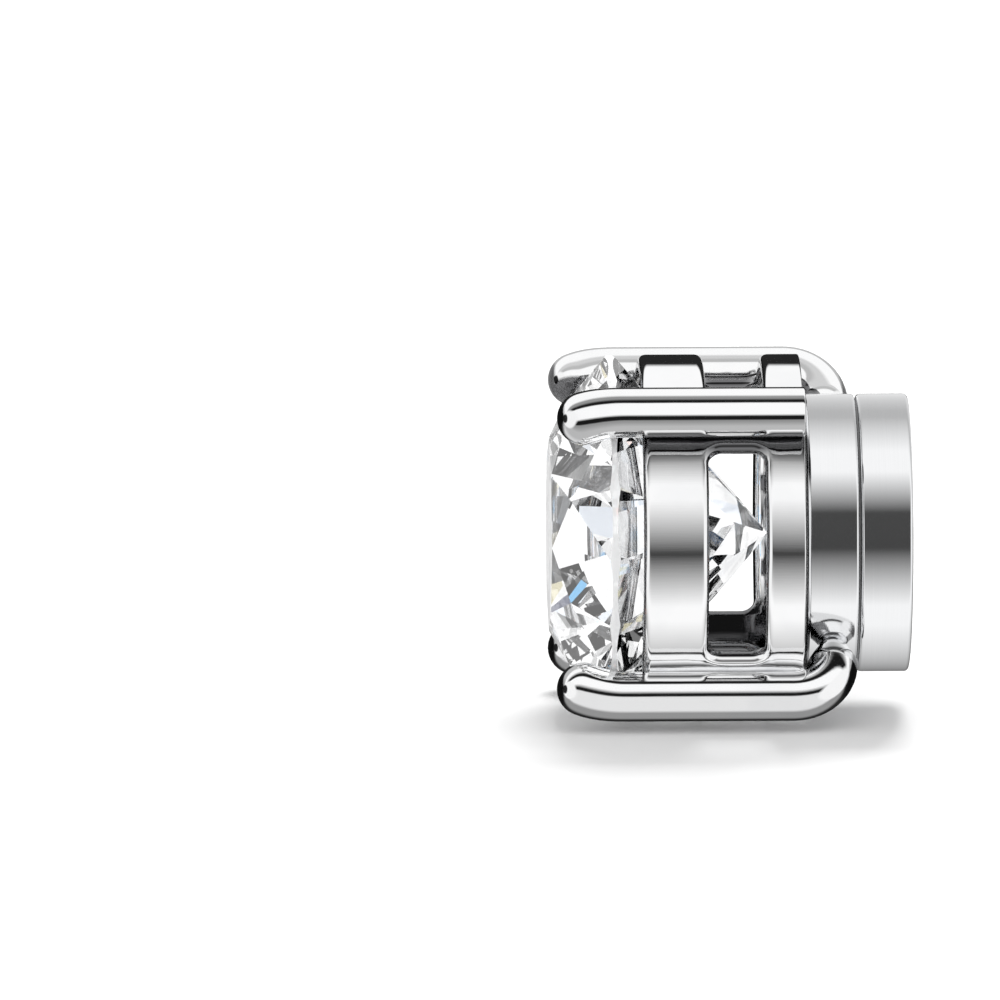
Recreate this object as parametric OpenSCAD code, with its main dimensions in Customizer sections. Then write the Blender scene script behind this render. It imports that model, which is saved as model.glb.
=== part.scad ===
// Magnetic stud earring: a round brilliant in a four-prong basket on a pair of magnet discs.
// It lies on its side as it does unworn. The stone faces -X and the loose back disc is at +X.
// Millimetres, +Z up. The origin is under the middle of the length, on the resting surface.

/* [Stone] */
// Diameter of the stone at its girdle
stone_d = 8; // [6:0.5:10]
// Table width, corner to corner, as a share of the diameter
table_share = 0.55; // [0.5:0.01:0.6]
// Crown height as a share of the diameter
crown_share = 0.155; // [0.14:0.005:0.17]
// Girdle thickness as a share of the diameter
girdle_share = 0.03; // [0.025:0.005:0.04]
// Pavilion depth as a share of the diameter
pavilion_share = 0.43; // [0.42:0.005:0.44]
// How far the star facets reach from the table towards the girdle
star_share = 0.5; // [0.45:0.01:0.55]
// How far the lower girdle facets reach from the girdle towards the culet
lower_half_share = 0.77; // [0.7:0.01:0.8]

/* [Basket] */
// Wall thickness of the basket tube
tube_wall = 0.4; // [0.3:0.05:0.5]
// Distance from the table back to the front rail
rail_setback = 2; // [1.95:0.05:2.2]
// Width of the front rail
front_rail_w = 1.46; // [1.2:0.02:1.6]
// Width of the windows between the rails
window_w = 1.28; // [1:0.02:1.4]
// Width of the rear rail
rear_rail_w = 0.88; // [0.8:0.02:1.2]
// Corner radius of the windows
window_corner_r = 0.32; // [0.2:0.02:0.4]
// Thickness of the basket's floor
floor_t = 0.35; // [0.3:0.05:0.5]
// Bevel on the outer edges of the tube
tube_bevel = 0.06; // [0.04:0.01:0.1]

/* [Prongs] */
// Diameter of the prong wire
wire_d = 1.12; // [1:0.02:1.2]
// Diameter of the ball at each prong's tip
tip_d = 1.2; // [1.16:0.02:1.3]
// How far each tip leans in over the stone
tip_inset = 0.21; // [0.15:0.01:0.25]
// Length over which the tip leans in
lean_l = 0.9; // [0.8:0.05:1]
// Radius of the bend where a long prong turns in to the magnet
heel_r = 0.9; // [0.8:0.05:1]
// Diameter of a long prong's end, where it meets the magnet
claw_d = 0.6; // [0.5:0.05:0.8]

/* [Magnets] */
// Diameter of both magnet discs
disc_d = 6.24; // [6:0.02:6.4]
// Thickness of each disc
disc_t = 1.16; // [1.14:0.01:1.2]
// Bevel on the discs' edges
disc_bevel = 0.09; // [0.05:0.01:0.12]

/* [Fits] */
// Clearance between the stone and what holds it
stone_gap = 0.03; // [0.02:0.01:0.04]
// Seam between the basket's floor and the front disc
seam = 0.08; // [0.04:0.01:0.1]
// Gap between the closed discs
closed_gap = 0.04; // [0.02:0.01:0.06]

/* [Hidden] */
$fn = 96;

stone_r = stone_d / 2;
table_r = stone_r * table_share;
crown_h = stone_d * crown_share;
girdle_h = stone_d * girdle_share;
pavilion_h = stone_d * pavilion_share;
stone_l = crown_h + girdle_h + pavilion_h;

// The tube is a hair wider than the stone, so that it and not the stone meets the table top.
tube_proud = 0.02;
tube_r = stone_r + tube_proud;
tube_in_r = tube_r - tube_wall;
tube_l = front_rail_w + window_w + rear_rail_w;
tube_end = rail_setback + tube_l;
window_at = rail_setback + front_rail_w;

// The wire is let into the tube by the depth of the solder joint.
solder = 0.04;
wire_r = wire_d / 2;
tip_r = tip_d / 2;
prong_at = tube_r + wire_r - solder;
tip_at = prong_at - tip_inset;
lean_angle = 2 * atan(tip_inset / lean_l);
lean_r = lean_l / sin(lean_angle);

// The ball's middle is this far behind the table, where the ball just clears the crown's slope.
ball_gap = 1.6 * stone_gap;
crown_run = stone_r - table_r;
crown_slope_l = sqrt(pow(crown_h, 2) + pow(crown_run, 2));
off_slope = tip_r + ball_gap - (tip_at - stone_r) * crown_h / crown_slope_l;
tip_back = crown_h - off_slope * crown_slope_l / crown_run;
lean_end = tip_back + lean_l;

// Windows run from wire to wire, less a narrow margin.
first_prong = 45;
prong_angles = [for (i = [0 : 3]) first_prong + 90 * i];
long_prongs = [prong_angles[1], prong_angles[3]];
window_margin = 1;
wire_half_angle = asin((wire_r + tube_proud) / prong_at);
window_half_angle = first_prong - wire_half_angle - window_margin;
window_l = 2 * tube_r * sin(window_half_angle);

disc_r = disc_d / 2;
front_disc_at = tube_end + seam;
back_disc_at = front_disc_at + disc_t + closed_gap;
total_l = back_disc_at + disc_t;
heel_at = front_disc_at + disc_t / 2;

silver = [0.82, 0.83, 0.85];
nickel = [0.72, 0.73, 0.76];
clear = [0.9, 0.95, 1];

// Lays a piece down: modelled with its axis upright, table at 0, it lands with the table at -X.
module lay() {
    translate([-total_l / 2, 0, tube_r]) rotate([0, 90, 0]) children();
}

// Facet meets of the brilliant, with heights from the girdle's upper edge.
mains = 8;
scallops = 4 * mains;
step = 360 / mains;
half = step / 2;
quarter = step / 4;
table_edge_r = table_r * cos(half);
star_r = table_edge_r + star_share * (stone_r - table_edge_r);
star_h = crown_h * (stone_r - star_r * cos(half)) / crown_run;
upper_slope = star_h / ((stone_r - star_r) * cos(quarter));
lower_r = (1 - lower_half_share) * stone_r;
lower_h = pavilion_h * (stone_r - lower_r * cos(half)) / stone_r;
lower_slope = lower_h / ((stone_r - lower_r) * cos(quarter));
// The flat halves cut into the round girdle by this much between their meets.
bulge = stone_r * (1 - cos(quarter));

function ring(r, h, turn) = [r * cos(turn), r * sin(turn), h];
function flipped(face) = [for (k = [len(face) - 1 : -1 : 0]) face[k]];

// Round brilliant with its crown up to +Z: table, 8 stars, 8 bezels, 16 upper halves,
// a scalloped girdle, 16 lower halves and 8 mains.
module brilliant() {
    table_pts = [for (i = [0 : mains - 1]) ring(table_r, crown_h, i * step)];
    star_pts = [for (i = [0 : mains - 1]) ring(star_r, star_h, i * step + half)];
    upper_pts = [for (k = [0 : scallops - 1]) ring(stone_r, -(k % 2) * upper_slope * bulge, k * quarter)];
    lower_pts = [
        for (k = [0 : scallops - 1]) ring(stone_r, -girdle_h + (k % 2) * lower_slope * bulge, k * quarter)
    ];
    main_pts = [for (i = [0 : mains - 1]) ring(lower_r, -girdle_h - lower_h, i * step + half)];
    culet = [[0, 0, -girdle_h - pavilion_h]];
    // Each group's first point in the list.
    s0 = mains;
    u0 = s0 + mains;
    l0 = u0 + scallops;
    m0 = l0 + scallops;
    c0 = m0 + mains;
    faces = concat(
        [[for (i = [0 : mains - 1]) i]],
        [for (i = [0 : mains - 1]) [(i + 1) % mains, i, s0 + i]],
        [for (i = [0 : mains - 1]) [i, s0 + (i + mains - 1) % mains, u0 + 4 * i, s0 + i]],
        [
            for (i = [0 : mains - 1], j = [0, 2])
                [s0 + i, u0 + 4 * i + j, u0 + 4 * i + j + 1, u0 + (4 * i + j + 2) % scallops]
        ],
        [for (k = [0 : scallops - 1]) let (n = (k + 1) % scallops) [u0 + k, l0 + k, l0 + n, u0 + n]],
        [
            for (i = [0 : mains - 1], j = [0, 2])
                [m0 + i, l0 + (4 * i + j + 2) % scallops, l0 + 4 * i + j + 1, l0 + 4 * i + j]
        ],
        [for (i = [0 : mains - 1]) [c0, m0 + i, l0 + 4 * i, m0 + (i + mains - 1) % mains]]
    );
    polyhedron(
        points = concat(table_pts, star_pts, upper_pts, lower_pts, main_pts, culet),
        faces = [for (face = faces) flipped(face)]
    );
}

module stone() {
    color(clear, 0.5) lay() translate([0, 0, crown_h]) rotate([180, 0, 0]) brilliant();
}

// The smooth form that the stone fits in, grown by its clearance. It cuts the seats.
module stone_room() {
    g = stone_gap;
    rotate_extrude()
        polygon([
            [0, -g],
            [table_r + g, -g],
            [stone_r + g, crown_h - g / 2],
            [stone_r + g, crown_h + girdle_h + g / 2],
            [0, stone_l + 1.5 * g]
        ]);
}

module window() {
    r = window_corner_r;
    rotate([0, 90, 0])
        linear_extrude(tube_r + tube_wall)
            union() {
                translate([-window_w / 2, -window_l / 2 + r]) square([window_w, window_l - 2 * r]);
                translate([-window_w / 2 + r, -window_l / 2]) square([window_w - 2 * r, window_l]);
                for (x = [-1, 1], y = [-1, 1])
                    translate([x * (window_w / 2 - r), y * (window_l / 2 - r)]) circle(r = r);
            }
}

// Tube with two rails, four windows and a floor.
module tube() {
    b = tube_bevel;
    difference() {
        rotate_extrude()
            polygon([
                [0, tube_end - floor_t],
                [tube_in_r, tube_end - floor_t],
                [tube_in_r, rail_setback],
                [tube_r - b, rail_setback],
                [tube_r, rail_setback + b],
                [tube_r, tube_end - b],
                [tube_r - b, tube_end],
                [0, tube_end]
            ]);
        for (turn = prong_angles)
            rotate([0, 0, turn - first_prong]) translate([0, 0, window_at + window_w / 2]) window();
    }
}

// A bend of the prong wire in the plane of its prong.
module wire_bend(radius, angle, up) {
    rotate([up * 90, 0, 0])
        rotate_extrude(angle = angle)
            translate([radius, 0]) circle(r = wire_r);
}

// One prong, standing on +X. A long one turns in at its heel and tapers to the magnet's rim.
module prong(long) {
    straight_end = long ? heel_at - heel_r : tube_end;
    translate([tip_at, 0, tip_back]) sphere(r = tip_r);
    translate([prong_at - lean_r, 0, lean_end]) wire_bend(lean_r, lean_angle, -1);
    translate([prong_at, 0, lean_end]) cylinder(r = wire_r, h = straight_end - lean_end);
    if (long) {
        translate([prong_at - heel_r, 0, straight_end]) wire_bend(heel_r, 90, 1);
        translate([disc_r, 0, heel_at])
            rotate([0, 90, 0])
                cylinder(r1 = claw_d / 2, r2 = wire_r, h = prong_at - heel_r - disc_r);
    }
}

// The long prongs are the near lower one and the one across from it.
module basket() {
    color(silver) lay() union() {
        tube();
        difference() {
            for (turn = prong_angles) rotate([0, 0, turn]) prong(len(search(turn, long_prongs)) > 0);
            stone_room();
            translate([0, 0, tube_end + seam / 2]) cylinder(r = disc_r + seam / 2, h = 2 * disc_t);
        }
    }
}

module disc() {
    b = disc_bevel;
    rotate_extrude()
        polygon([
            [0, 0],
            [disc_r - b, 0],
            [disc_r, b],
            [disc_r, disc_t - b],
            [disc_r - b, disc_t],
            [0, disc_t]
        ]);
}

module front_magnet() {
    color(nickel) lay() translate([0, 0, front_disc_at]) disc();
}

module back_magnet() {
    color(nickel) lay() translate([0, 0, back_disc_at]) disc();
}

stone();
basket();
front_magnet();
back_magnet();
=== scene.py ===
"""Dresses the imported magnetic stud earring: cut stone, polished basket, turned magnet discs, studio."""

import math
from types import SimpleNamespace

import bmesh
import bpy
from bpy.props import FloatProperty, FloatVectorProperty, IntProperty, PointerProperty
from mathutils import Matrix, Vector


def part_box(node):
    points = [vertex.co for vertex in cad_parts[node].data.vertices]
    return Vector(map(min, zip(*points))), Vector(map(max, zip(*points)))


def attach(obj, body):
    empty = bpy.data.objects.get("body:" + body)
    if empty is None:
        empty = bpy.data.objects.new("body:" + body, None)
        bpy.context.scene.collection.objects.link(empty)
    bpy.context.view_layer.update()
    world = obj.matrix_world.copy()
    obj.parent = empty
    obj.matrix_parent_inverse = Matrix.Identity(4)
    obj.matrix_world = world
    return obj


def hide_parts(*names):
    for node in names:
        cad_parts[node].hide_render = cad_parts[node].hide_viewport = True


bl_info = {
    "name": "Magnetic Stud Earring",
    "version": (1, 0, 0),
    "blender": (4, 5, 0),
    "location": "View3D > Sidebar > Earring",
    "description": "Builds a prong-set stud with a magnet back around its packed model",
    "category": "Object",
}

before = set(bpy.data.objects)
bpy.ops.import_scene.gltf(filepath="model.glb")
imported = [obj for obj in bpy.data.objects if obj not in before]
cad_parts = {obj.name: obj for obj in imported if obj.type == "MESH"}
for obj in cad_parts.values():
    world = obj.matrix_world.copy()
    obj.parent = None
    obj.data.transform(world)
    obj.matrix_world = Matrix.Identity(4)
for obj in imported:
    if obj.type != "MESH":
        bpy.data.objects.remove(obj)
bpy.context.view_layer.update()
STONE_LOW, STONE_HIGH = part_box("stone")
BASKET_LOW, BASKET_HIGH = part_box("basket")
FRONT_LOW, FRONT_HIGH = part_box("front_magnet")
BACK_LOW, BACK_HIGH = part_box("back_magnet")

MM = 0.001
AXIS_H = BASKET_HIGH.z / 2
FULL_TURN = 2 * math.pi
WHITE = (1.0, 1.0, 1.0)

# Room between a prong's tip and the crown, in seat gaps.
TIP_CLEARANCE = 1.6
# A window ends a little short of the wires, which stand 45 degrees to its middle.
WINDOW_REACH = math.radians(44)
WIRE_MARGIN = 0.02

# Pieces are modelled in millimetres, standing on the stone's table with the axis along +Z.
# LAY turns them on their side, so that the table faces -X, and makes them metres.
LAY = (
    Matrix.Translation((STONE_LOW.x, 0, AXIS_H))
    @ Matrix.Rotation(math.radians(90), 4, "Y")
    @ Matrix.Scale(MM, 4)
)


def length(name, description, default):
    """A size in metres, as the user sees it."""
    return FloatProperty(
        name=name,
        description=description,
        default=default,
        min=0,
        precision=5,
        unit="LENGTH",
        subtype="DISTANCE",
    )


def share(name, description, default):
    """A size as a share of another."""
    return FloatProperty(name=name, description=description, default=default, min=0, max=1, subtype="FACTOR")


def colour(name, description, default):
    """A linear colour."""
    return FloatVectorProperty(
        name=name, description=description, default=default, min=0, max=1, size=3, subtype="COLOR"
    )


class EarringSizes(bpy.types.PropertyGroup):
    """Sizes of the earring's pieces."""

    stone_d: length("Stone", "Diameter at the girdle", STONE_HIGH.z - STONE_LOW.z)
    table: share("Table", "Table width, corner to corner, over the diameter", 0.55)
    crown: share("Crown", "Crown height over the diameter", 0.155)
    girdle: share("Girdle", "Girdle thickness over the diameter", 0.03)
    pavilion: share("Pavilion", "Pavilion depth over the diameter", 0.43)
    star: share("Stars", "How far the stars reach towards the girdle", 0.5)
    lower_half: share("Lower halves", "How far the lower halves reach towards the culet", 0.77)
    tube_d: length("Tube", "Outer diameter of the basket tube", BASKET_HIGH.z - BASKET_LOW.z)
    wall: length("Wall", "Thickness of the tube's wall", 0.0004)
    setback: length("Setback", "From the table back to the front rail", 0.002)
    front_rail: length("Front rail", "Width of the front rail", 0.00146)
    window: length("Windows", "Width of the windows", 0.00128)
    corner: length("Window corners", "Corner radius of the windows", 0.00032)
    rear_rail: length("Rear rail", "Width of the rear rail", 0.00088)
    floor: length("Floor", "Thickness of the basket's floor", 0.00035)
    soft_edge: length("Soft edge", "Width of the polished-down edges", 0.00018)
    seam_edge: length("Seam edge", "Width of the softened edge at the magnet's seam", 0.00004)
    wire_d: length("Wire", "Diameter of the prong wire", 0.00112)
    tip_d: length("Tip", "Diameter of the ball at a prong's tip", 0.0012)
    tip_inset: length("Lean", "How far a tip leans in over the stone", 0.00021)
    lean: length("Lean length", "Length over which a tip leans in", 0.0009)
    heel: length("Heel", "Radius of the bend at a long prong's heel", 0.0009)
    claw_d: length("Claw", "Diameter of a long prong's end, at the magnet", 0.0006)
    solder: length("Solder", "How deep the wire is let into the tube", 0.00004)
    seat_gap: length("Seat gap", "Clearance round the stone", 0.00003)
    disc_d: length("Disc", "Diameter of the magnet discs", FRONT_HIGH.z - FRONT_LOW.z)
    disc_bevel: length("Disc bevel", "Bevel on the discs' edges", 0.00009)


class EarringLooks(bpy.types.PropertyGroup):
    """Colours and finish of the earring."""

    silver: colour("Silver", "Polished basket", (0.96, 0.962, 0.966))
    silver_shade: colour("Silver shade", "Thin film on the basket", (0.86, 0.865, 0.88))
    # Painted shade: this dark colour is mixed into the polished silver in the corners beside the upper
    # wires, inside the tube beside all four wires, and on the rims that face along the earring.
    corner: colour("Corners", "Painted shade in the corners beside the wires and on the rims", (0.07, 0.07, 0.075))
    nickel: colour("Nickel", "Plated magnet discs", (0.94, 0.945, 0.955))
    nickel_shade: colour("Nickel shade", "Darker turning marks on the discs", (0.78, 0.79, 0.8))
    stone: colour("Stone", "Body colour of the stone", (0.985, 0.992, 1.0))
    girdle: colour("Girdle", "Frosted edge of the stone", (0.97, 0.975, 0.98))
    stone_ior: FloatProperty(
        name="Stone IOR", description="Refractive index", default=2.42, min=1.5, max=2.7
    )
    sides: IntProperty(name="Wire sides", description="Sides of the round wire", default=40, min=12, max=64)


def sizes_in_mm(context):
    """The sizes and what follows from them, in millimetres."""
    group = context.scene.earring_sizes
    shares = ("table", "crown", "girdle", "pavilion", "star", "lower_half")
    s = SimpleNamespace()
    for name in EarringSizes.__annotations__:
        value = getattr(group, name)
        setattr(s, name, value if name in shares else value / MM)
    s.stone_r = s.stone_d / 2
    s.table_r = s.stone_r * s.table
    s.crown_h = s.stone_d * s.crown
    s.girdle_h = s.stone_d * s.girdle
    s.pavilion_h = s.stone_d * s.pavilion
    s.girdle_back = s.crown_h + s.girdle_h
    s.stone_l = s.girdle_back + s.pavilion_h
    s.tube_r = s.tube_d / 2
    s.tube_end = s.setback + s.front_rail + s.window + s.rear_rail
    s.wire_r = s.wire_d / 2
    s.tip_r = s.tip_d / 2
    s.prong_at = s.tube_r + s.wire_r - s.solder
    s.tip_at = s.prong_at - s.tip_inset
    s.lean_angle = 2 * math.atan(s.tip_inset / s.lean)
    s.lean_r = s.lean / math.sin(s.lean_angle)
    slope_l = math.hypot(s.crown_h, s.stone_r - s.table_r)
    off_slope = s.tip_r + TIP_CLEARANCE * s.seat_gap - (s.tip_at - s.stone_r) * s.crown_h / slope_l
    s.tip_back = s.crown_h - off_slope * slope_l / (s.stone_r - s.table_r)
    s.lean_end = s.tip_back + s.lean
    s.window_half_angle = WINDOW_REACH - math.asin((s.wire_r + WIRE_MARGIN) / s.prong_at)
    s.disc_r = s.disc_d / 2
    s.front_disc = ((FRONT_LOW.x - STONE_LOW.x) / MM, (FRONT_HIGH.x - STONE_LOW.x) / MM)
    s.back_disc = ((BACK_LOW.x - STONE_LOW.x) / MM, (BACK_HIGH.x - STONE_LOW.x) / MM)
    s.heel_at = sum(s.front_disc) / 2
    return s


class Term:
    """A number on a node's output, which takes part in Python sums."""

    def __init__(self, net, socket):
        self.net = net
        self.socket = socket

    def _sum(self, operation, *values):
        return self.net.node("ShaderNodeMath", {"operation": operation}, *values)

    def __add__(self, other):
        return self._sum("ADD", self, other)

    def __radd__(self, other):
        return self._sum("ADD", other, self)

    def __sub__(self, other):
        return self._sum("SUBTRACT", self, other)

    def __rsub__(self, other):
        return self._sum("SUBTRACT", other, self)

    def __mul__(self, other):
        return self._sum("MULTIPLY", self, other)

    def __rmul__(self, other):
        return self._sum("MULTIPLY", other, self)

    def __truediv__(self, other):
        return self._sum("DIVIDE", self, other)

    def __rtruediv__(self, other):
        return self._sum("DIVIDE", other, self)


class Net:
    """Adds nodes to one material or world."""

    def __init__(self, owner):
        owner.use_nodes = True
        self.tree = owner.node_tree
        self.tree.nodes.clear()

    def node(self, kind, settings, *values, out=0, **named):
        """Adds a node, sets it up, and gives its output as a Term.

        Values go to its sockets in order, or by name with _ for a space.
        """
        made = self.tree.nodes.new(kind)
        for name, value in settings.items():
            if name == "stops":
                self._set_stops(made.color_ramp, value)
            elif name == "hard":
                made.color_ramp.interpolation = "CONSTANT"
            else:
                setattr(made, name, value)
        given = list(enumerate(values))
        given += [(name.replace("_", " "), value) for name, value in named.items()]
        for place, value in given:
            socket = made.inputs[place]
            if isinstance(value, Term):
                self.tree.links.new(value.socket, socket)
            else:
                socket.default_value = value
        return Term(self, made.outputs[out]) if made.outputs else None

    def _set_stops(self, ramp, stops):
        while len(ramp.elements) < len(stops):
            ramp.elements.new(1)
        for element, (place, value) in zip(ramp.elements, stops):
            element.position = place
            element.color = (*value, 1) if isinstance(value, tuple) else (value, value, value, 1)

    def split(self, vector):
        """The three parts of a vector."""
        made = self.tree.nodes.new("ShaderNodeSeparateXYZ")
        self.tree.links.new(vector.socket, made.inputs[0])
        return [Term(self, socket) for socket in made.outputs]

    def mix_colours(self, factor, first, second):
        """Mixes two colours by a factor."""
        mixed = self.tree.nodes.new("ShaderNodeMix")
        mixed.data_type = "RGBA"
        for place, value in ((0, factor), (6, first), (7, second)):
            if isinstance(value, Term):
                self.tree.links.new(value.socket, mixed.inputs[place])
            elif place:
                mixed.inputs[place].default_value = (*value, 1)
            else:
                mixed.inputs[place].default_value = value
        return Term(self, mixed.outputs[2])

    def noise(self, stretch, scale, detail=2.0, roughness=0.5):
        """Noise on Object coordinates, in millimetres, stretched along the row's axes."""
        place = self.node("ShaderNodeTexCoord", {}, out="Object")
        scaled = self.node(
            "ShaderNodeMapping", {}, Vector=place, Scale=[1 / (MM * share_of) for share_of in stretch]
        )
        return self.node(
            "ShaderNodeTexNoise", {}, Vector=scaled, Scale=scale, Detail=detail, Roughness=roughness
        )

    def finish(self, shader):
        """Links the surface to the output."""
        for_world = isinstance(self.tree.id_data, bpy.types.World)
        self.node("ShaderNodeOutputWorld" if for_world else "ShaderNodeOutputMaterial", {}, Surface=shader)


# How strong the shade is in the corners and on the ends.
CORNER_DEPTH = 0.9
END_DEPTH = 0.85
# The tube's outer wall and the inside of the tube, as shares of its radius.
OFF_WALL = 1.02
ON_WALL = 1.004
INSIDE = 0.97
# The floor inside this share of the radius shows through the stone and stays bright.
BRIGHT_FLOOR = 0.85
# The corner shade stops this far before the front disc.
DISC_ROOM = MM / 20


def place_on_earring(net):
    """X, Y and height above the axis of a place, and its distance from the axis squared."""
    x, y, z = net.split(net.node("ShaderNodeTexCoord", {}, out="Object"))
    up = z - AXIS_H
    return x, y, up, y * y + up * up


def corner_shade(net):
    """Shade in the corners beside the upper wires, and inside the tube beside all four."""
    x, y, up, square = place_on_earring(net)
    near_wall = net.node(
        "ShaderNodeMapRange",
        {},
        square,
        (OFF_WALL * BASKET_HIGH.y) ** 2,
        (ON_WALL * BASKET_HIGH.y) ** 2,
        0.0,
        1.0,
    )
    inside = net.node("ShaderNodeMath", {"operation": "LESS_THAN"}, square, (INSIDE * BASKET_HIGH.y) ** 2)
    upper = net.node("ShaderNodeMath", {"operation": "GREATER_THAN"}, up, 0.0)
    shaded = net.node("ShaderNodeMath", {"operation": "MAXIMUM"}, inside, upper)
    # This is 1 on the diagonals, where the wires stand, and 0 straight above, below and beside the axis.
    beside = net.node("ShaderNodeMath", {"operation": "ABSOLUTE"}, 2.0 * y * up / square)
    on_tube = net.node("ShaderNodeMath", {"operation": "LESS_THAN"}, x, FRONT_LOW.x - DISC_ROOM)
    depth = net.node("ShaderNodeMapRange", {}, beside, 0.89, 0.96, 0.0, CORNER_DEPTH)
    return near_wall * on_tube * shaded * depth


def end_shade(net):
    """Shade where the metal faces along the earring, as on the rails' ends and the tips' noses."""
    along, _, _ = net.split(net.node("ShaderNodeNewGeometry", {}, out="Normal"))
    _, _, _, square = place_on_earring(net)
    floor_edge = (BRIGHT_FLOOR * BASKET_HIGH.y) ** 2
    rim = net.node("ShaderNodeMath", {"operation": "GREATER_THAN"}, square, floor_edge)
    return rim * net.node("ShaderNodeMapRange", {}, along * along, 0.5, 0.66, 0.0, END_DEPTH)


def silver_finish(looks):
    """High polish: fine buffing haze, tiny scratches along the earring, a faint film, and painted shade in
    the corners and on the rims.
    """
    material = bpy.data.materials.new("polished silver")
    net = Net(material)
    film = net.noise((1.4, 1.4, 1.4), 1.0, 3.0)
    haze = net.noise((0.5, 0.16, 0.16), 1.0, 4.0, 0.6)
    buffing = net.noise((0.9, 0.035, 0.035), 1.0, 2.0, 0.7)
    shade = net.node("ShaderNodeValToRGB", {"stops": [(0.5, 0.0), (0.72, 0.45)]}, film)
    clean = net.mix_colours(shade, tuple(looks.silver), tuple(looks.silver_shade))
    shaded = net.node("ShaderNodeMath", {"operation": "MAXIMUM"}, corner_shade(net), end_shade(net))
    # Painted shade: the silver turns to the dark corner colour in the corners and on the rims that face
    # along the earring.
    base = net.mix_colours(shaded, clean, tuple(looks.corner))
    bump = net.node("ShaderNodeBump", {}, Strength=0.03, Distance=0.00001, Height=buffing)
    shader = net.node(
        "ShaderNodeBsdfPrincipled",
        {},
        Base_Color=base,
        Metallic=1.0,
        Roughness=0.025 + haze * 0.035,
        Normal=bump,
    )
    net.finish(shader)
    return material


def nickel_finish(looks):
    """Plated discs: a fine turned grain that runs round the rim, under a soft polish."""
    material = bpy.data.materials.new("turned nickel")
    net = Net(material)
    grain = net.noise((0.02, 2.5, 2.5), 1.0, 3.0, 0.65)
    cloud = net.noise((0.7, 0.7, 0.7), 1.0, 3.0)
    base = net.mix_colours(grain * 0.45, tuple(looks.nickel), tuple(looks.nickel_shade))
    bump = net.node("ShaderNodeBump", {}, Strength=0.08, Distance=0.000008, Height=grain)
    shader = net.node(
        "ShaderNodeBsdfPrincipled",
        {},
        Base_Color=base,
        Metallic=1.0,
        Roughness=0.045 + grain * 0.05 + cloud * 0.03,
        Normal=bump,
    )
    net.finish(shader)
    return material


# The girdle's faces point nearly square to the axis. This is the most that their normal's X may be, squared.
GIRDLE_TILT = 0.01
FROST = 0.8


def stone_finish(looks):
    """Clear stone of high index, with a trace of polishing lines on its facets and a frosted girdle."""
    material = bpy.data.materials.new("brilliant stone")
    net = Net(material)
    lines = net.noise((0.3, 0.05, 0.3), 1.0, 2.0)
    tint = net.mix_colours(lines, tuple(looks.stone), WHITE)
    clear = net.node(
        "ShaderNodeBsdfPrincipled",
        {},
        Base_Color=tint,
        Roughness=0.0,
        IOR=looks.stone_ior,
        Transmission_Weight=1.0,
    )
    frosted = net.node("ShaderNodeBsdfDiffuse", {}, Color=(*looks.girdle, 1))
    along, _, _ = net.split(net.node("ShaderNodeNewGeometry", {}, out="True Normal"))
    girdle = net.node("ShaderNodeMath", {"operation": "LESS_THAN"}, along * along, GIRDLE_TILT)
    shader = net.node("ShaderNodeMixShader", {}, girdle * FROST, clear, frosted)
    net.finish(shader)
    return material


def material_for(name, context):
    """Each finish is made once and shared by the pieces that wear it."""
    makers = {
        "polished silver": silver_finish,
        "turned nickel": nickel_finish,
        "brilliant stone": stone_finish,
    }
    return bpy.data.materials.get(name) or makers[name](context.scene.earring_looks)


def put_piece(bm, context, name, finish, body, stands_for=(), smooth=True):
    """Lays the modelled mesh in its place, gives it its finish, fixes it to its body and hides the packed
    parts it stands for.
    """
    bmesh.ops.transform(bm, matrix=LAY, verts=bm.verts)
    mesh = bpy.data.meshes.new(name)
    bm.to_mesh(mesh)
    bm.free()
    mesh.polygons.foreach_set("use_smooth", [smooth] * len(mesh.polygons))
    mesh.materials.append(material_for(finish, context))
    piece = bpy.data.objects.new(name, mesh)
    context.scene.collection.objects.link(piece)
    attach(piece, body)
    if stands_for:
        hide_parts(*stands_for)
    return piece


def around(radius, turn, along):
    """A point at a radius and an angle round the axis."""
    return Vector((radius * math.cos(turn), radius * math.sin(turn), along))


def facet_planes(s):
    """Every flat of the round brilliant but its table.

    Each has its angle, the reach and place of a point on it, its slope, and its side of the girdle.
    """
    eighth = math.radians(45)
    half = eighth / 2
    quarter = eighth / 4
    bezel = s.crown_h / (s.stone_r - s.table_r)
    table_edge_r = s.table_r * math.cos(half)
    star_r = table_edge_r + s.star * (s.stone_r - table_edge_r)
    star_h = bezel * (s.stone_r - star_r * math.cos(half))
    star = (s.crown_h - star_h) / (star_r - table_edge_r)
    upper = star_h / ((s.stone_r - star_r) * math.cos(quarter))
    main = s.pavilion_h / s.stone_r
    lower_r = (1 - s.lower_half) * s.stone_r
    lower = main * (s.stone_r - lower_r * math.cos(half)) / ((s.stone_r - lower_r) * math.cos(quarter))
    planes = []
    for i in range(8):
        turn = i * eighth
        planes.append((turn, s.stone_r, s.crown_h, bezel, -1))
        planes.append((turn + half, star_r, s.crown_h - star_h, star, -1))
        planes.append((turn, s.stone_r, s.girdle_back, main, 1))
        for side in (-1, 1):
            halves = turn + side * quarter
            planes.append((halves, s.stone_r * math.cos(quarter), s.crown_h, upper, -1))
            planes.append((halves, s.stone_r * math.cos(quarter), s.girdle_back, lower, 1))
    return planes


# Points this close to a cut are taken to be on it, in millimetres.
CUT_MARGIN = 0.0001


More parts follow.
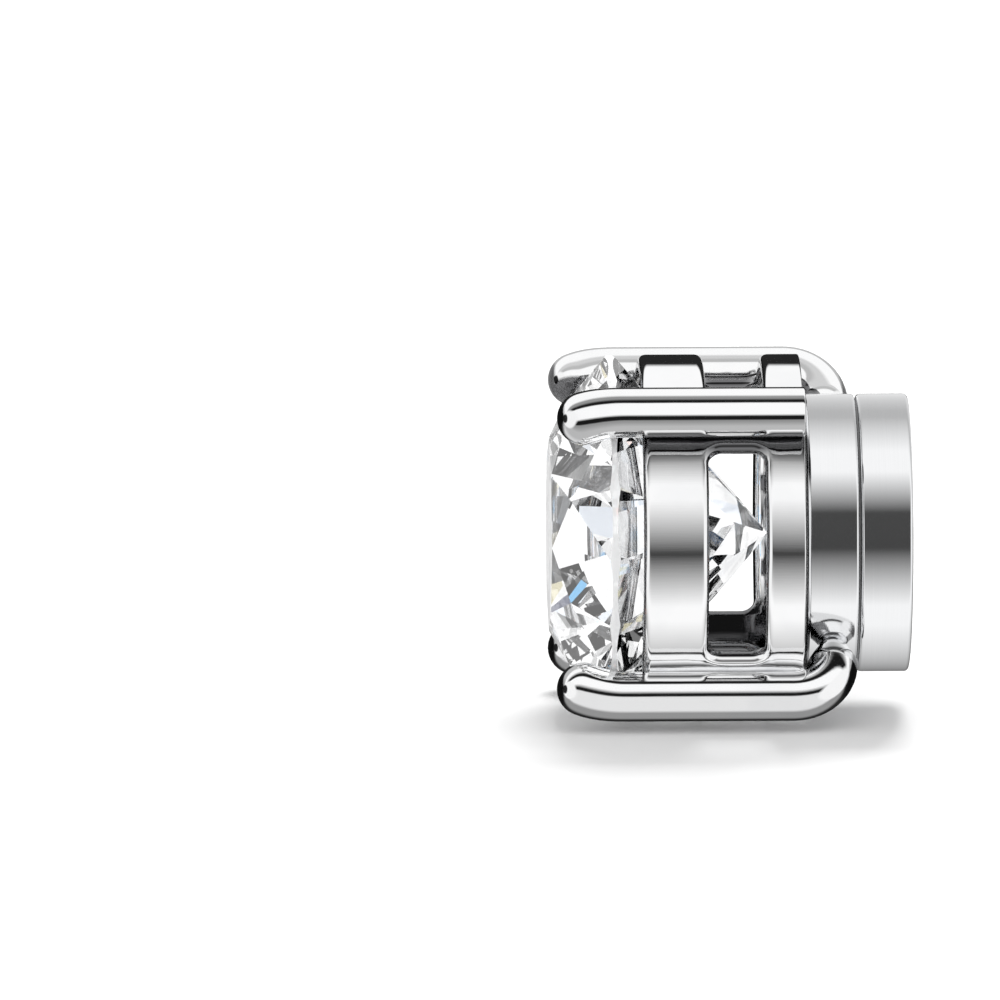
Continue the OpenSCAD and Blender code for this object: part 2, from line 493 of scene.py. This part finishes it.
class EARRING_OT_stone(bpy.types.Operator):
    """Cuts the round brilliant facet by facet from a blank"""

    bl_idname = "earring.stone"
    bl_label = "Cut the stone"

    girdle_sides: IntProperty(
        name="Girdle sides", description="Sides of the round blank", default=128, min=32
    )

    def execute(self, context):
        s = sizes_in_mm(context)
        bm = bmesh.new()
        bmesh.ops.create_cone(
            bm,
            cap_ends=True,
            segments=self.girdle_sides,
            radius1=s.stone_r,
            radius2=s.stone_r,
            depth=s.stone_l,
            matrix=Matrix.Translation((0, 0, s.stone_l / 2)),
        )
        for turn, reach, along, slope, side in facet_planes(s):
            cut = bmesh.ops.bisect_plane(
                bm,
                geom=bm.verts[:] + bm.edges[:] + bm.faces[:],
                dist=CUT_MARGIN,
                plane_co=around(reach, turn, along),
                plane_no=around(slope, turn, side).normalized(),
                clear_outer=True,
            )
            rim = [e for e in cut["geom_cut"] if isinstance(e, bmesh.types.BMEdge)]
            bmesh.ops.contextual_create(bm, geom=rim)
        bmesh.ops.recalc_face_normals(bm, faces=bm.faces)
        put_piece(
            bm, context, "stone_brilliant", "brilliant stone", "front", ("stone",), smooth=False
        )
        return {"FINISHED"}


def window_outline(s, steps_long, steps_corner, steps_short):
    """The window's edge and the quarter tube's edge outside it, point for point, as (arc length, place)."""
    middle = s.setback + s.front_rail + s.window / 2
    reach = s.tube_r * s.window_half_angle - s.corner
    rise = s.window / 2 - s.corner
    end = s.tube_r * FULL_TURN / 8
    inner = []
    outer = []
    for sx, sz in ((1, -1), (1, 1), (-1, 1), (-1, -1)):
        limit = s.tube_end if sz > 0 else s.setback
        clockwise = sx * sz > 0
        for i in range(steps_corner + 1):
            part = i / steps_corner
            swing = (part if clockwise else 1 - part) * FULL_TURN / 4
            inner.append(
                (
                    sx * (reach + s.corner * math.cos(swing)),
                    middle + sz * (rise + s.corner * math.sin(swing)),
                )
            )
            up = min(1.0, 2 * (part if clockwise else 1 - part))
            back = max(0.0, 2 * (part if clockwise else 1 - part) - 1)
            outer.append(
                (
                    sx * (end + (reach - end) * back),
                    middle + sz * rise + (limit - middle - sz * rise) * up,
                )
            )
        sides = steps_long if clockwise else steps_short
        start_in, start_out = inner[-1], outer[-1]
        stop_in = (-sx * reach, start_in[1]) if clockwise else (start_in[0], middle - sz * rise)
        stop_out = (-sx * reach, start_out[1]) if clockwise else (start_out[0], middle - sz * rise)
        for i in range(1, sides):
            t = i / sides
            inner.append(tuple(a + (b - a) * t for a, b in zip(start_in, stop_in)))
            outer.append(tuple(a + (b - a) * t for a, b in zip(start_out, stop_out)))
    return inner, outer


def wrap(bm, radius):
    """Bends the flat sheet round the axis: X is arc length, Z stays."""
    for v in bm.verts:
        v.co = around(radius, v.co.x / radius, v.co.z)


# Steps along a window's long sides, round each corner and along its short sides.
WINDOW_STEPS = (44, 8, 4)
FLOOR_SIDES = 160
# The floor's back lies this far inside the tube's end, in millimetres.
FLOOR_RECESS = 0.02
# Points closer than this are joined, in millimetres.
JOIN = 0.001


def quarter_tube(s):
    """One flat quarter of the tube's wall with its window, bent round."""
    bm = bmesh.new()
    inner, outer = window_outline(s, *WINDOW_STEPS)
    ring = [bm.verts.new((x, 0, z)) for x, z in inner]
    edges = [bm.edges.new((ring[i - 1], ring[i])) for i in range(len(ring))]
    grown = bmesh.ops.extrude_edge_only(bm, edges=edges)
    place = {v.co.copy().freeze(): v for v in grown["geom"] if isinstance(v, bmesh.types.BMVert)}
    for (x, z), (out_x, out_z) in zip(inner, outer):
        place[Vector((x, 0, z)).freeze()].co = (out_x, 0, out_z)
    rungs = [e for e in bm.edges if len(e.link_faces) == 2]
    bmesh.ops.subdivide_edges(bm, edges=rungs, cuts=2, use_grid_fill=True)
    wrap(bm, s.tube_r)
    return bm


SHARP = math.radians(40)


def soften_edges(bm, width, segments, low, high):
    """Rounds the sharp edges between two places along the axis."""
    sharp = [
        e
        for e in bm.edges
        if len(e.link_faces) == 2
        and e.calc_face_angle(0) > SHARP
        and low <= min(v.co.z for v in e.verts)
        and max(v.co.z for v in e.verts) <= high
    ]
    bmesh.ops.bevel(
        bm,
        geom=sharp,
        offset=width,
        affect="EDGES",
        segments=segments,
        profile=0.5,
        material=-1,
        clamp_overlap=True,
    )


# Points this close to the outermost radius are on the outer wall.
WALL_SHARE = 0.9995


def even_normals(mesh):
    """Makes broad faces mirror evenly right up to their soft edges.

    The outer wall's points get normals square to the axis, and the others weigh their faces by area.
    """
    bm = bmesh.new()
    bm.from_mesh(mesh)
    arms = [Vector((0, v.co.y, v.co.z - AXIS_H)) for v in bm.verts]
    on_wall = max(arm.length for arm in arms) * WALL_SHARE
    normals = []
    for v, arm in zip(bm.verts, arms):
        weighed = sum((f.normal * f.calc_area() for f in v.link_faces), Vector())
        normals.append(arm.normalized() if arm.length > on_wall else weighed.normalized())
    bm.free()
    mesh.normals_split_custom_set_from_vertices(normals)


class EARRING_OT_tube(bpy.types.Operator):
    """Makes the basket tube with its rails, windows and floor"""

    bl_idname = "earring.tube"
    bl_label = "Make the basket tube"

    def execute(self, context):
        s = sizes_in_mm(context)
        bm = quarter_tube(s)
        first = bm.verts[:] + bm.edges[:] + bm.faces[:]
        for i in range(1, 4):
            turned = bmesh.ops.duplicate(bm, geom=first)
            verts = [v for v in turned["geom"] if isinstance(v, bmesh.types.BMVert)]
            turn = Matrix.Rotation(i * FULL_TURN / 4, 3, "Z")
            bmesh.ops.rotate(bm, verts=verts, cent=(0, 0, 0), matrix=turn)
        bmesh.ops.remove_doubles(bm, verts=bm.verts, dist=JOIN)
        bmesh.ops.recalc_face_normals(bm, faces=bm.faces)
        if sum(f.normal.xy.dot(f.calc_center_median().xy) for f in bm.faces) < 0:
            bmesh.ops.reverse_faces(bm, faces=bm.faces)
        skin = set(bm.verts)
        bmesh.ops.solidify(bm, geom=bm.faces[:], thickness=s.wall)
        for v in bm.verts:
            radius = s.tube_r if v in skin else s.tube_r - s.wall
            spread = math.hypot(v.co.x, v.co.y)
            v.co.x *= radius / spread
            v.co.y *= radius / spread
        rear = s.tube_end - s.floor
        soften_edges(bm, s.soft_edge, 4, 0, rear)
        soften_edges(bm, s.seam_edge, 2, rear, s.tube_end + s.floor)
        floor = bmesh.ops.create_cone(
            bm,
            cap_ends=True,
            segments=FLOOR_SIDES,
            radius1=s.tube_r - s.wall / 2,
            radius2=s.tube_r - s.wall / 2,
            depth=s.floor - FLOOR_RECESS,
            matrix=Matrix.Translation((0, 0, s.tube_end - s.floor / 2 - FLOOR_RECESS / 2)),
        )
        bmesh.ops.recalc_face_normals(bm, faces=list({f for v in floor["verts"] for f in v.link_faces}))
        piece = put_piece(bm, context, "basket_tube", "polished silver", "front", ("basket",))
        even_normals(piece.data)
        return {"FINISHED"}


# Rings of a prong: angles round the tip's ball in degrees, then how many in the lean, along the straight,
# round the heel, along the claw and round a short prong's end.
BALL_ANGLES = range(6, 91, 7)
LEAN_RINGS = 16
STRAIGHT_RINGS = 10
HEEL_RINGS = 14
CLAW_RINGS = 4
END_RINGS = 3
# A last ring this far before the straight part's end keeps its shading even, in millimetres.
LAST_RING = 0.03


def prong_stations(s, long):
    """Rings along a prong from its tip: (out from the axis, along it, lean of the path, radius)."""
    stations = []
    lean = s.lean_angle
    for polar in BALL_ANGLES:
        back = s.tip_r * math.cos(math.radians(polar))
        stations.append(
            (
                s.tip_at - back * math.sin(lean),
                s.tip_back - back * math.cos(lean),
                lean,
                s.tip_r * math.sin(math.radians(polar)),
            )
        )
    for i in range(1, LEAN_RINGS + 1):
        part = i / LEAN_RINGS
        angle = lean * (1 - part)
        ease = part * part * (3 - 2 * part)
        stations.append(
            (
                s.prong_at - s.lean_r * (1 - math.cos(angle)),
                s.lean_end - s.lean_r * math.sin(angle),
                angle,
                s.tip_r + (s.wire_r - s.tip_r) * ease,
            )
        )
    stop = s.heel_at - s.heel if long else s.tube_end - s.seam_edge
    for i in range(1, STRAIGHT_RINGS):
        along = s.lean_end + (stop - s.lean_end) * i / STRAIGHT_RINGS
        stations.append((s.prong_at, along, 0, s.wire_r))
    for short_of in (LAST_RING, 0):
        stations.append((s.prong_at, stop - short_of, 0, s.wire_r))
    if long:
        for i in range(1, HEEL_RINGS + 1):
            angle = FULL_TURN / 4 * i / HEEL_RINGS
            stations.append(
                (
                    s.prong_at - s.heel * (1 - math.cos(angle)),
                    stop + s.heel * math.sin(angle),
                    -angle,
                    s.wire_r,
                )
            )
        reach = s.prong_at - s.heel - s.disc_r
        for i in range(1, CLAW_RINGS + 1):
            part = i / CLAW_RINGS
            radius = s.wire_r + (s.claw_d / 2 - s.wire_r) * part
            stations.append((s.prong_at - s.heel - reach * part, s.heel_at, -FULL_TURN / 4, radius))
    else:
        for i in range(1, END_RINGS + 1):
            angle = FULL_TURN / 4 * i / END_RINGS
            stations.append(
                (
                    s.prong_at,
                    stop + s.seam_edge * math.sin(angle),
                    0,
                    s.wire_r - s.seam_edge * (1 - math.cos(angle)),
                )
            )
    return stations


def ring_place(out, along, lean, radius):
    """Where a unit circle goes to be a ring of the wire."""
    return Matrix.Translation((out, 0, along)) @ Matrix.Rotation(lean, 4, "Y") @ Matrix.Scale(radius, 4)


def draw_wire(stations, sides):
    """Draws a round wire through its rings by extruding a circle."""
    bm = bmesh.new()
    before = ring_place(*stations[0])
    made = bmesh.ops.create_circle(bm, cap_ends=True, segments=sides, radius=1, matrix=before)
    edges = list({e for v in made["verts"] for e in v.link_edges})
    for station in stations[1:]:
        after = ring_place(*station)
        grown = bmesh.ops.extrude_edge_only(bm, edges=edges)["geom"]
        verts = [g for g in grown if isinstance(g, bmesh.types.BMVert)]
        edges = [
            e
            for e in grown
            if isinstance(e, bmesh.types.BMEdge) and e.verts[0] in verts and e.verts[1] in verts
        ]
        bmesh.ops.transform(bm, matrix=after @ before.inverted(), verts=verts)
        before = after
    bmesh.ops.contextual_create(bm, geom=edges)
    return bm


def stone_room(s, along):
    """Radius of the room that the stone needs at a place along the axis."""
    g = s.seat_gap
    crown = s.table_r + g + (along + g) * (s.stone_r - s.table_r) / (s.crown_h + g / 2)
    pavilion = (s.stone_l + 1.5 * g - along) * s.stone_r / s.pavilion_h
    return min(crown, s.stone_r + g, pavilion)


def press_out(bm, room):
    """Moves the points that are nearer to the axis than room allows out to it."""
    for v in bm.verts:
        spread = math.hypot(v.co.x, v.co.y)
        need = room(v.co.z)
        if spread < need:
            v.co.x *= need / spread
            v.co.y *= need / spread


class EARRING_OT_prongs(bpy.types.Operator):
    """Draws the four prong wires, two of which turn in to the magnet"""

    bl_idname = "earring.prongs"
    bl_label = "Draw the prongs"

    def execute(self, context):
        s = sizes_in_mm(context)
        sides = context.scene.earring_looks.sides
        places = (
            ("prong_far_lower", 45, False),
            ("prong_far_upper", 135, True),
            ("prong_near_upper", 225, False),
            ("prong_near_lower", 315, True),
        )
        for name, turn, long in places:
            bm = draw_wire(prong_stations(s, long), sides)
            press_out(bm, lambda along: stone_room(s, along) if along < s.setback else 0)
            seam = s.front_disc[0] - s.tube_end
            press_out(bm, lambda along: s.disc_r + seam / 2 if along > s.tube_end + seam / 2 else 0)
            bmesh.ops.recalc_face_normals(bm, faces=bm.faces)
            stand = Matrix.Rotation(math.radians(turn), 3, "Z")
            bmesh.ops.rotate(bm, verts=bm.verts, cent=(0, 0, 0), matrix=stand)
            put_piece(bm, context, name, "polished silver", "front", ("basket",))
        return {"FINISHED"}


def turn_disc(s, front, back, steps=224, soft=4):
    """Turns a bevelled disc from its profile, in many steps, with a few round each soft edge."""
    bm = bmesh.new()
    b = s.disc_bevel
    profile = [(0.0, front)]
    for corner_z, sign in ((front, 1), (back, -1)):
        turns = range(soft + 1) if sign > 0 else range(soft, -1, -1)
        for i in turns:
            angle = FULL_TURN / 4 * i / soft
            profile.append((s.disc_r - b + b * math.sin(angle), corner_z + sign * b * (1 - math.cos(angle))))
    profile.append((0.0, back))
    verts = [bm.verts.new((r, 0, z)) for r, z in profile]
    edges = [bm.edges.new(pair) for pair in zip(verts, verts[1:])]
    bmesh.ops.spin(
        bm,
        geom=verts + edges,
        cent=(0, 0, 0),
        axis=(0, 0, 1),
        dvec=(0, 0, 0),
        angle=FULL_TURN,
        steps=steps,
        use_merge=True,
        use_duplicate=False,
    )
    bmesh.ops.remove_doubles(bm, verts=bm.verts, dist=JOIN / 2)
    bmesh.ops.recalc_face_normals(bm, faces=bm.faces)
    return bm


class EARRING_OT_magnets(bpy.types.Operator):
    """Turns the two magnet discs"""

    bl_idname = "earring.magnets"
    bl_label = "Turn the magnets"

    def execute(self, context):
        s = sizes_in_mm(context)
        discs = (
            ("front_disc", s.front_disc, "front", "front_magnet"),
            ("back_disc", s.back_disc, "back", "back_magnet"),
        )
        for name, (front, back), body, node in discs:
            bm = turn_disc(s, front, back)
            piece = put_piece(bm, context, name, "turned nickel", body, (node,))
            even_normals(piece.data)
        return {"FINISHED"}


# Where the photograph shows the origin's place on the earring's axis, and how large a millimetre is in it.
PHOTO_SIDE = 1000
PHOTO_ANCHOR = (728, 533)
PIXELS_PER_MM = 44.5
# The camera's angles in degrees and its distance in metres.
VIEW_AZIMUTH = -2.3
VIEW_ELEVATION = 8.5
VIEW_DISTANCE = 0.6

# Patches of light and dark that the stone shows: places on a ramp, and their colours.
SPARKLE = (
    (0.0, (1.0, 1.0, 1.0)),
    (0.5, (0.86, 0.9, 0.96)),
    (0.57, (1.0, 1.0, 1.0)),
    (0.85, (0.01, 0.01, 0.012)),
    (0.878, (0.02, 0.03, 0.1)),
    (0.885, (1.0, 1.0, 1.0)),
    (0.9, (0.25, 0.6, 0.95)),
    (0.925, (1.0, 1.0, 1.0)),
    (0.95, (1.0, 0.4, 0.25)),
    (0.965, (1.0, 0.93, 0.65)),
    (0.975, (1.0, 1.0, 1.0)),
)
# The deeper set that it shows from the front.
DEEP_SPARKLE = (
    (0.0, (0.004, 0.004, 0.006)),
    (0.4, (0.008, 0.012, 0.05)),
    (0.47, (0.05, 0.07, 0.1)),
    (0.5, (0.45, 0.5, 0.54)),
    (0.55, (0.72, 0.8, 0.83)),
    (0.62, (1.0, 1.0, 1.0)),
    (0.9, (0.05, 0.33, 0.85)),
    (0.92, (1.0, 1.0, 1.0)),
    (0.96, (1.0, 0.82, 0.55)),
    (0.975, (1.0, 1.0, 1.0)),
)
# Panels and black flags that polished metal mirrors: from one angle to another round the earring's axis, in
# degrees, and how bright. Light fades evenly from each to the next.
# The angle is 0 towards the camera, 90 overhead, 180 behind the earring and -90 underneath.
TUBE_PANELS = (
    (-180, -135, 0.02),
    (-125, -85, 0.4),
    (-50, -40, 1.0),
    (-5, -5, 0.04),
    (30, 40, 1.0),
    (65, 85, 0.04),
    (95, 145, 1.0),
    (150, 180, 0.02),
)
DISC_PANELS = (
    (-180, -160, 0.2),
    (-75, -55, 1.0),
    (-5, 25, 0.06),
    (60, 80, 1.0),
    (120, 130, 0.5),
    (170, 180, 0.8),
)
UPPER_WIRE_PANELS = (
    (-180, -145, 0.02),
    (-125, -120, 0.7),
    (-95, -60, 0.5),
    (-35, -30, 0.3),
    (-25, -10, 0.01),
    (0, 50, 1.0),
    (55, 65, 0.01),
    (75, 85, 0.3),
    (95, 145, 1.0),
    (150, 180, 0.02),
)
LOWER_WIRE_PANELS = (
    (-180, -130, 0.02),
    (-110, -75, 0.3),
    (-60, 5, 0.8),
    (10, 20, 0.01),
    (35, 65, 1.0),
    (70, 80, 0.01),
    (95, 110, 1.0),
    (120, 145, 0.5),
    (150, 180, 0.02),
)

# Each row is one reflected light: its name, the pieces that mirror it, its panels, and how far they fade to
# white.
REFLECTED = (
    ("stone light", ("stone_brilliant",), TUBE_PANELS, 0.8),
    ("tube light", ("basket_tube",), TUBE_PANELS, 0.0),
    ("disc light", ("front_disc", "back_disc"), DISC_PANELS, 0.0),
    ("upper wire light", ("prong_near_upper",), UPPER_WIRE_PANELS, 0.0),
    ("far wire light", ("prong_far_upper",), UPPER_WIRE_PANELS, 0.5),
    ("lower wire light", ("prong_near_lower", "prong_far_lower"), LOWER_WIRE_PANELS, 0.0),
)

# Radius of the first glowing sphere in metres. Each next one is a little wider, so that none coincide.
WIDE = 1.0
WIDER = 0.01
END_WHITE = (0.95, 0.95, 0.95)
LENS_BLACK = (0.02, 0.02, 0.02)
# How much sooner a direction towards the camera's side counts as one of the white ends.
NEAR_LEAN = 0.4


def ramp_stops(panels):
    """Panels as places and values of a ramp over the full turn."""
    return [((angle + 180) / 360, bright) for start, stop, bright in panels for angle in (start, stop)]


def turn_round_axis(net, direction):
    """The angle of a direction round the earring's axis, as a share of the full turn, and its X and Y."""
    x, y, z = net.split(direction)
    return net.node("ShaderNodeMath", {"operation": "ARCTAN2"}, z, -1.0 * y) / FULL_TURN + 0.5, x, y


def stage_mesh(name, bm, material):
    """Adds a stage object from a mesh in metres."""
    mesh = bpy.data.meshes.new(name)
    bm.to_mesh(mesh)
    bm.free()
    mesh.materials.append(material)
    thing = bpy.data.objects.new(name, mesh)
    bpy.context.scene.collection.objects.link(thing)
    return thing


def floor_material():
    """Matt and pale."""
    material = bpy.data.materials.new("pale floor")
    net = Net(material)
    net.finish(net.node("ShaderNodeBsdfDiffuse", {}, Color=(0.9, 0.9, 0.9, 1)))
    return material


def glow_material(name, panels, fade):
    """Glows in bands by the angle round the earring's axis, and lets rays through.

    It is white at both ends of the axis, with a black spot straight ahead of the stone.
    """
    material = bpy.data.materials.new(name)
    net = Net(material)
    place = net.node("ShaderNodeTexCoord", {}, out="Object")
    way = net.node("ShaderNodeVectorMath", {"operation": "NORMALIZE"}, place)
    turn, along, away = turn_round_axis(net, way)
    band = net.node("ShaderNodeValToRGB", {"stops": ramp_stops(panels)}, turn)
    band = net.mix_colours(fade, band, WHITE)
    side = net.node("ShaderNodeMath", {"operation": "ABSOLUTE"}, along) - away * NEAR_LEAN
    ends = net.node("ShaderNodeMapRange", {}, side, 0.88, 0.95, 0.0, 1.0)
    band = net.mix_colours(ends, band, END_WHITE)
    ahead = net.node("ShaderNodeMapRange", {}, along, -0.965, -0.98, 0.0, 1.0)
    band = net.mix_colours(ahead, band, LENS_BLACK)
    glow = net.node("ShaderNodeEmission", {}, Color=band, Strength=1.0)
    net.finish(net.node("ShaderNodeAddShader", {}, glow, net.node("ShaderNodeBsdfTransparent", {})))
    material.cycles.emission_sampling = "NONE"
    return material


def add_reflected_light(name, pieces, panels, fade, radius):
    """A wide glowing sphere that shows in the polish of its own pieces alone."""
    bm = bmesh.new()
    bmesh.ops.create_icosphere(bm, subdivisions=3, radius=radius)
    sphere = stage_mesh(name, bm, glow_material(name, panels, fade))
    sphere.location.z = AXIS_H
    sphere.visible_camera = False
    sphere.visible_diffuse = False
    sphere.visible_transmission = False
    sphere.visible_shadow = False
    receivers = bpy.data.collections.new(name)
    for piece in pieces:
        receivers.objects.link(bpy.data.objects[piece])
    sphere.light_linking.receiver_collection = receivers


# How fine the stone's patches of light are, and how strong each kind of light from the world is.
PATCH_SCALE = 3.2
GEM_STRENGTH = 1.3
SOFT_STRENGTH = 0.85


def studio_world():
    """White for the camera and for soft light, patches of light for the stone, and none for the polish."""
    world = bpy.data.worlds.new("studio")
    bpy.context.scene.world = world
    net = Net(world)
    way = net.node("ShaderNodeTexCoord", {}, out="Generated")
    along, _, _ = net.split(way)
    patch = net.node("ShaderNodeTexVoronoi", {}, Vector=way, Scale=PATCH_SCALE, Randomness=1.0, out="Color")
    pick, deep_pick, _ = net.split(patch)
    beside = net.node("ShaderNodeValToRGB", {"stops": SPARKLE, "hard": True}, pick)
    ahead = net.node("ShaderNodeValToRGB", {"stops": DEEP_SPARKLE, "hard": True}, deep_pick)
    forwards = net.node("ShaderNodeMapRange", {}, along, -0.7, -0.76, 0.0, 1.0)
    sparkle = net.mix_colours(forwards, beside, ahead)
    gem = net.node("ShaderNodeBackground", {}, Color=sparkle, Strength=GEM_STRENGTH)
    soft = net.node("ShaderNodeBackground", {}, Color=(*WHITE, 1), Strength=SOFT_STRENGTH)
    light = net.node("ShaderNodeBackground", {}, Color=(*WHITE, 1), Strength=1.0)
    dark = net.node("ShaderNodeBackground", {}, Color=(0, 0, 0, 1), Strength=0.0)
    rays = net.tree.nodes.new("ShaderNodeLightPath").outputs
    for ray, shader in (("Is Glossy Ray", dark), ("Is Transmission Ray", gem), ("Is Diffuse Ray", soft)):
        light = net.node("ShaderNodeMixShader", {}, Term(net, rays[ray]), light, shader)
    net.finish(light)


def add_camera():
    """Places the camera so that the earring falls where the photograph shows it."""
    pixel = MM / PIXELS_PER_MM
    aside = (PHOTO_ANCHOR[0] - PHOTO_SIDE / 2) * pixel
    below = (PHOTO_ANCHOR[1] - PHOTO_SIDE / 2) * pixel
    azimuth = math.radians(VIEW_AZIMUTH) + math.atan(aside / VIEW_DISTANCE)
    elevation = math.radians(VIEW_ELEVATION) - math.atan(below / VIEW_DISTANCE)
    back = Vector(
        (
            math.sin(azimuth) * math.cos(elevation),
            -math.cos(azimuth) * math.cos(elevation),
            math.sin(elevation),
        )
    )
    right = Vector((math.cos(azimuth), math.sin(azimuth), 0))
    up = back.cross(right)
    data = bpy.data.cameras.new("camera")
    data.lens = data.sensor_width * VIEW_DISTANCE / (PHOTO_SIDE * pixel)
    data.clip_start, data.clip_end = 0.01, 10
    camera = bpy.data.objects.new("camera", data)
    camera.location = Vector((0, 0, AXIS_H)) - right * aside + up * below + back * VIEW_DISTANCE
    camera.rotation_mode = "QUATERNION"
    camera.rotation_quaternion = (-back).to_track_quat("-Z", "Y")
    bpy.context.scene.collection.objects.link(camera)
    bpy.context.scene.camera = camera


# The softbox stands behind the earring and above it, so that the shadow falls forwards. Metres, and watts.
SOFTBOX_PLACE = (0.04, 0.29, 0.37)
SOFTBOX_SIZE = (0.16, 0.2)
SOFTBOX_POWER = 1.6


def add_softbox():
    """Adds the soft overhead light, aimed at the earring and unseen in the metal and the stone."""
    data = bpy.data.lights.new("overhead", "AREA")
    data.shape = "RECTANGLE"
    data.size, data.size_y = SOFTBOX_SIZE
    data.energy = SOFTBOX_POWER
    light = bpy.data.objects.new("overhead", data)
    light.location = SOFTBOX_PLACE
    light.rotation_mode = "QUATERNION"
    light.rotation_quaternion = (-Vector(SOFTBOX_PLACE)).to_track_quat("-Z", "Y")
    light.visible_glossy = False
    light.visible_transmission = False
    bpy.context.scene.collection.objects.link(light)


# Radius of the stage's floor in metres.
FLOOR_RADIUS = 0.5
# A brilliant needs deep paths.
STONE_BOUNCES = 24
MIRROR_BOUNCES = 8


class EARRING_OT_stage(bpy.types.Operator):
    """Sets up the pale floor, the studio light and the camera"""

    bl_idname = "earring.stage"
    bl_label = "Set the stage"

    def execute(self, context):
        scene = context.scene
        scene.view_settings.view_transform = "Standard"
        scene.view_settings.look = "None"
        scene.cycles.max_bounces = STONE_BOUNCES
        scene.cycles.transmission_bounces = STONE_BOUNCES
        scene.cycles.glossy_bounces = MIRROR_BOUNCES
        bm = bmesh.new()
        bmesh.ops.create_circle(bm, cap_ends=True, segments=96, radius=FLOOR_RADIUS)
        floor = stage_mesh("floor", bm, floor_material())
        floor.visible_glossy = False
        floor.visible_transmission = False
        for number, row in enumerate(REFLECTED):
            add_reflected_light(*row, WIDE + WIDER * number)
        add_softbox()
        studio_world()
        add_camera()
        return {"FINISHED"}


class EARRING_PT_build(bpy.types.Panel):
    """Lists the steps that build the earring"""

    bl_idname = "EARRING_PT_build"
    bl_label = "Magnetic stud earring"
    bl_space_type = "VIEW_3D"
    bl_region_type = "UI"
    bl_category = "Earring"

    def draw(self, context):
        for group in (context.scene.earring_sizes, context.scene.earring_looks):
            column = self.layout.column()
            for name in group.__annotations__:
                column.prop(group, name)
        for step in STEPS:
            self.layout.operator(step.bl_idname)


STEPS = (EARRING_OT_stone, EARRING_OT_tube, EARRING_OT_prongs, EARRING_OT_magnets, EARRING_OT_stage)
CLASSES = (EarringSizes, EarringLooks, *STEPS, EARRING_PT_build)


def register():
    """Adds the add-on's classes and settings."""
    for cls in CLASSES:
        bpy.utils.register_class(cls)
    bpy.types.Scene.earring_sizes = PointerProperty(type=EarringSizes)
    bpy.types.Scene.earring_looks = PointerProperty(type=EarringLooks)


def unregister():
    """Removes them again."""
    del bpy.types.Scene.earring_looks
    del bpy.types.Scene.earring_sizes
    for cls in reversed(CLASSES):
        bpy.utils.unregister_class(cls)


def main():
    """Builds everything in order."""
    register()
    for step in STEPS:
        group, name = step.bl_idname.split(".")
        getattr(getattr(bpy.ops, group), name)()
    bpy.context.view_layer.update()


if __name__ == "__main__":
    main()
